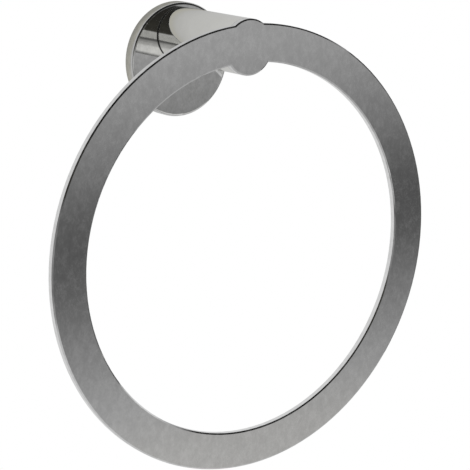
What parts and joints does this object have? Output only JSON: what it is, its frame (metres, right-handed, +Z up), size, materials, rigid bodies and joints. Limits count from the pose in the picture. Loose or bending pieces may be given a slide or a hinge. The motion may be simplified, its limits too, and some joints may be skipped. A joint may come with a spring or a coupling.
{
  "type": "towel ring",
  "caption": "Wall towel ring: a flat round ring with a boss at its top, fixed to a straight round post that stands off-centre on a round wall flange over a concealed bracket.",
  "frame": {"origin": "centre of the wall flange and of the two wall-screw holes, on the wall plane", "axes": "+Z up, +Y into the wall, +X to the right when facing the wall; the ring hangs in front at -Y"},
  "size_m": [0.203, 0.06, 0.2074],
  "materials": {
    "ring_metal": "polished",
    "post_metal": "polished",
    "flange_metal": "polished",
    "bracket_zinc": "satin",
    "screw_steel": "satin"
  },
  "bodies": {
    "root": {"ring": "ring_metal", "post": "post_metal", "wall_flange": "flange_metal", "wall_bracket": "bracket_zinc", "ring_screw": "screw_steel", "grub_screw": "screw_steel"}
  },
  "joints": []
}
